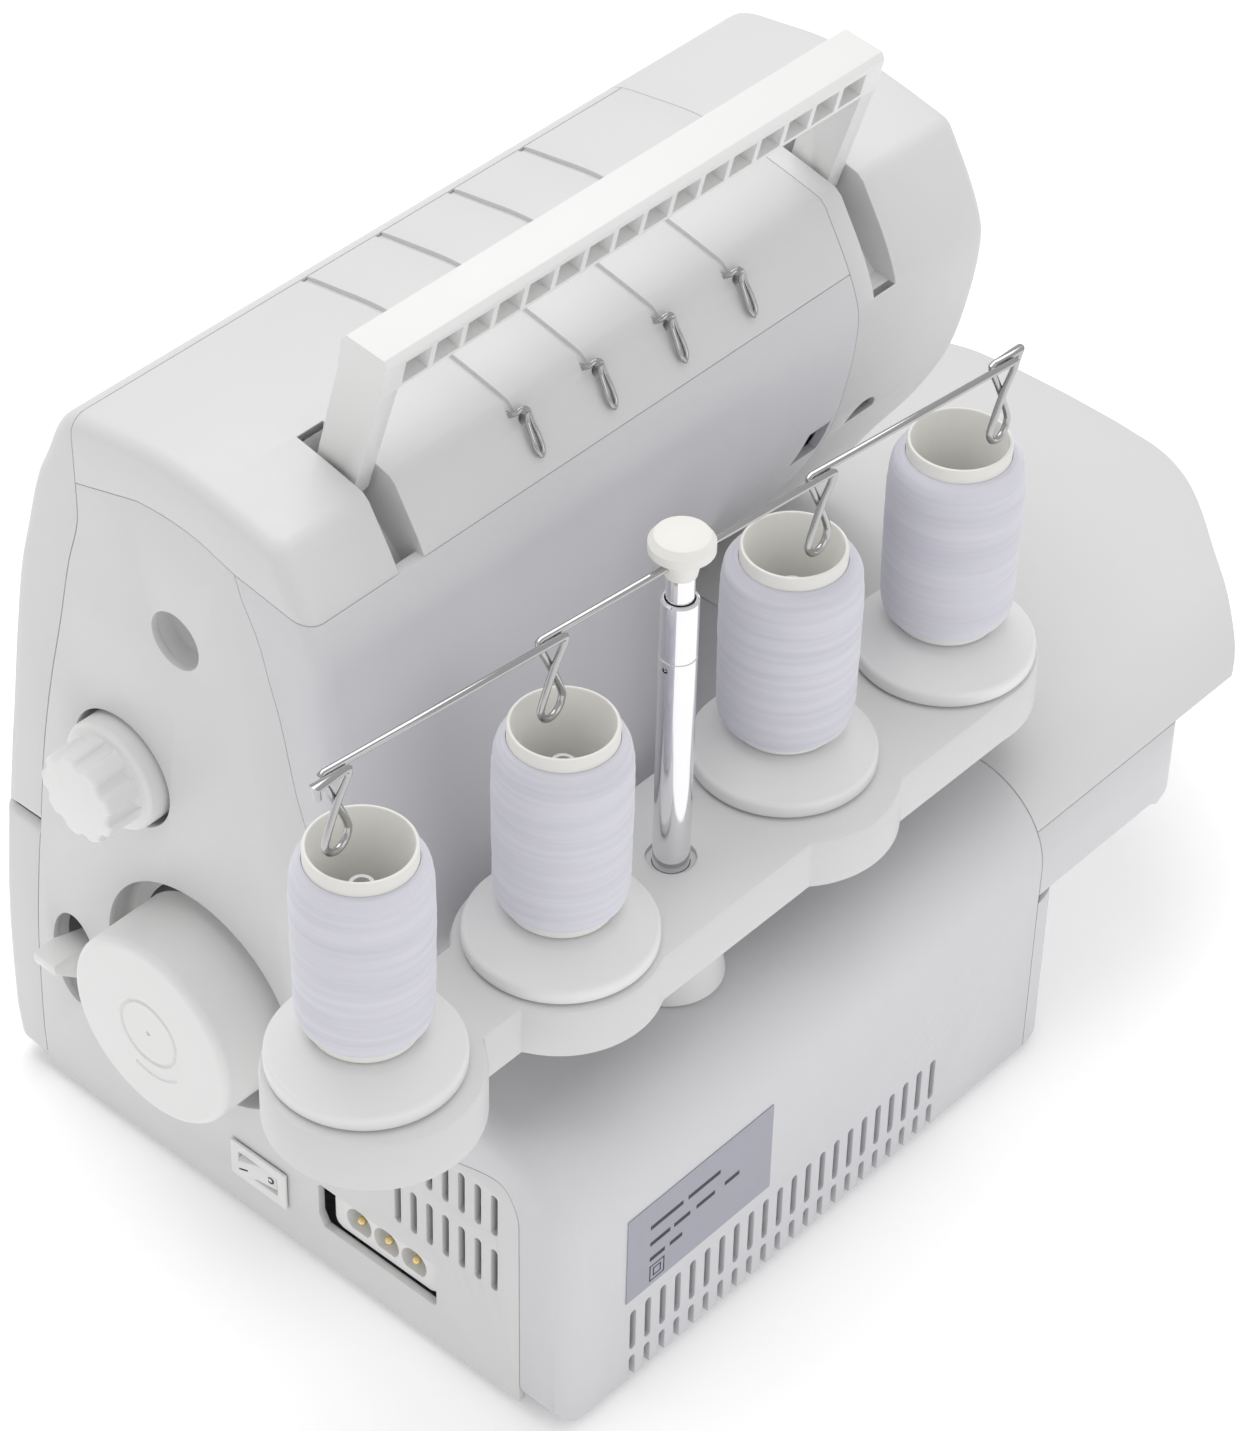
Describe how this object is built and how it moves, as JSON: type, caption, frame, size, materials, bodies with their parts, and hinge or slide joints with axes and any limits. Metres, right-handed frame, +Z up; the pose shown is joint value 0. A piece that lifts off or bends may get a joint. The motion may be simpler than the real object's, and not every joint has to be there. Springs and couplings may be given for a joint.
{
  "type": "serger overlock machine",
  "caption": "Four-thread overlock sewing machine with folding carry handle, handwheel, thread cones on a stand and a telescopic thread guide mast.",
  "frame": {"origin": "centre of the base footprint on the table", "axes": "+X to the handwheel end, +Y to the rear where the thread stand is, +Z up"},
  "size_m": [0.407, 0.2167, 0.296],
  "materials": {
    "shell_white": "satin moulded ABS",
    "shell_grey_white": "satin moulded ABS",
    "control_white": "satin moulded ABS",
    "cream_plastic": "matt polypropylene",
    "thread": "wound polyester thread",
    "chrome": "bright",
    "steel": "ground",
    "gold": "bright",
    "rubber": "matt",
    "casting": "as cast",
    "label_silver": "foil label"
  },
  "bodies": {
    "chassis": {"base_tray": "casting", "foot_front_right": "rubber", "foot_front_left": "rubber", "foot_rear_right": "rubber", "foot_rear_left": "rubber", "right_side_cover": "shell_white", "rear_cover": "shell_grey_white", "rear_body_cover": "shell_grey_white", "top_cover": "shell_white", "arm_end_cover": "shell_white", "front_cover": "shell_white", "left_base_cover": "shell_grey_white", "bed_cover": "shell_white", "bed_lower_cover": "shell_grey_white", "needle_plate": "steel", "motor": "casting", "drive_belt": "rubber", "switch_frame": "control_white", "power_inlet": "control_white", "inlet_contacts": "gold", "rating_label": "label_silver", "spool_stand": "shell_white", "mast_tube": "chrome", "lower_knife": "steel", "top_thread_guide_1": "chrome", "top_thread_guide_2": "chrome", "top_thread_guide_3": "chrome", "top_thread_guide_4": "chrome"},
    "handle": {"carrying_handle": "control_white"},
    "front_door": {"looper_door": "shell_white"},
    "drive": {"main_shaft": "steel", "handwheel": "control_white"},
    "motor_rotor": {"motor_pulley": "steel"},
    "stitch_knob": {"stitch_length_knob": "control_white"},
    "feed_lever": {"differential_lever": "control_white"},
    "rocker": {"power_rocker": "control_white"},
    "mast_slider": {"mast_sleeve": "chrome"},
    "guide_head": {"mast_cap": "cream_plastic", "thread_guide_bar": "chrome"},
    "needle_drive": {"needle_bar": "steel"},
    "presser": {"presser_bar": "steel"},
    "looper_low": {"lower_looper": "steel"},
    "looper_up": {"upper_looper": "steel"},
    "feed": {"feed_dog": "steel"},
    "cone_1": {"cone_holder_1": "control_white", "spool_tube_1": "cream_plastic", "thread_winding_1": "thread"},
    "cone_2": {"cone_holder_2": "control_white", "spool_tube_2": "cream_plastic", "thread_winding_2": "thread"},
    "cone_3": {"cone_holder_3": "control_white", "spool_tube_3": "cream_plastic", "thread_winding_3": "thread"},
    "cone_4": {"cone_holder_4": "control_white", "spool_tube_4": "cream_plastic", "thread_winding_4": "thread"},
    "dial_1": {"tension_dial_1": "control_white"},
    "dial_2": {"tension_dial_2": "control_white"},
    "dial_3": {"tension_dial_3": "control_white"},
    "dial_4": {"tension_dial_4": "control_white"}
  },
  "joints": [
    {"name": "handle_fold", "type": "hinge", "parent": "chassis", "child": "handle", "pos_m": [-0.0185, -0.004, 0.248], "axis": [-1, 0, 0], "range_deg": [0, 80]},
    {"name": "looper_door_drop", "type": "hinge", "parent": "chassis", "child": "front_door", "pos_m": [0, -0.104, 0.008], "axis": [1, 0, 0], "range_deg": [0, 75]},
    {"name": "handwheel_turn", "type": "hinge", "parent": "chassis", "child": "drive", "pos_m": [0, -0.0265, 0.0765], "axis": [1, 0, 0], "continuous": true},
    {"name": "motor_spin", "type": "hinge", "parent": "chassis", "child": "motor_rotor", "pos_m": [0, 0.066, 0.04], "axis": [1, 0, 0], "continuous": true},
    {"name": "stitch_length_turn", "type": "hinge", "parent": "chassis", "child": "stitch_knob", "pos_m": [0.096, -0.052, 0.144], "axis": [1, 0, 0], "range_deg": [-135, 135]},
    {"name": "differential_feed_turn", "type": "hinge", "parent": "chassis", "child": "feed_lever", "pos_m": [0.088, -0.078, 0.056], "axis": [0, 1, 0], "range_deg": [-10, 10]},
    {"name": "power_rocker_tip", "type": "hinge", "parent": "chassis", "child": "rocker", "pos_m": [0.106, -0.0058, 0.022], "axis": [0, 0, 1], "range_deg": [-14, 0]},
    {"name": "mast_lift", "type": "slide", "parent": "chassis", "child": "mast_slider", "axis": [0, 0, 1], "range_m": [0, 0.1]},
    {"name": "guide_head_turn", "type": "hinge", "parent": "mast_slider", "child": "guide_head", "pos_m": [0.031, 0.0737, 0.24], "axis": [0, 0, 1], "range_deg": [-10, 10]},
    {"name": "needle_bar_slide", "type": "slide", "parent": "chassis", "child": "needle_drive", "axis": [0, 0, 1], "range_m": [-0.012, 0.012]},
    {"name": "presser_bar_lift", "type": "slide", "parent": "chassis", "child": "presser", "axis": [0, 0, 1], "range_m": [0, 0.006], "stiffness_N_per_m": 300, "springref_m": -0.004},
    {"name": "lower_looper_swing", "type": "hinge", "parent": "chassis", "child": "looper_low", "pos_m": [-0.112, -0.07, 0.068], "axis": [0, 1, 0], "range_deg": [-7, 0]},
    {"name": "upper_looper_swing", "type": "hinge", "parent": "chassis", "child": "looper_up", "pos_m": [-0.1, -0.052, 0.068], "axis": [0, 1, 0], "range_deg": [-5, 0]},
    {"name": "feed_dog_slide", "type": "slide", "parent": "chassis", "child": "feed", "axis": [0, 1, 0], "range_m": [-0.002, 0.002]},
    {"name": "cone_1_spin", "type": "hinge", "parent": "chassis", "child": "cone_1", "pos_m": [0.1377, 0.0673, 0.14], "axis": [0, 0, 1], "continuous": true},
    {"name": "cone_2_spin", "type": "hinge", "parent": "chassis", "child": "cone_2", "pos_m": [0.0727, 0.073, 0.14], "axis": [0, 0, 1], "continuous": true},
    {"name": "cone_3_spin", "type": "hinge", "parent": "chassis", "child": "cone_3", "pos_m": [-0.0188, 0.0694, 0.14], "axis": [0, 0, 1], "continuous": true},
    {"name": "cone_4_spin", "type": "hinge", "parent": "chassis", "child": "cone_4", "pos_m": [-0.0827, 0.0727, 0.14], "axis": [0, 0, 1], "continuous": true},
    {"name": "tension_dial_1_turn", "type": "hinge", "parent": "chassis", "child": "dial_1", "pos_m": [0.066, -0.094, 0.186], "axis": [1, 0, 0], "range_deg": [-150, 150]},
    {"name": "tension_dial_2_turn", "type": "hinge", "parent": "chassis", "child": "dial_2", "pos_m": [0.0385, -0.094, 0.186], "axis": [1, 0, 0], "range_deg": [-150, 150]},
    {"name": "tension_dial_3_turn", "type": "hinge", "parent": "chassis", "child": "dial_3", "pos_m": [0.011, -0.094, 0.186], "axis": [1, 0, 0], "range_deg": [-150, 150]},
    {"name": "tension_dial_4_turn", "type": "hinge", "parent": "chassis", "child": "dial_4", "pos_m": [-0.0165, -0.094, 0.186], "axis": [1, 0, 0], "range_deg": [-150, 150]}
  ],
  "couplings": [
    {"joint": "motor_spin", "follows": "handwheel_turn", "ratio": 2.6667}
  ]
}
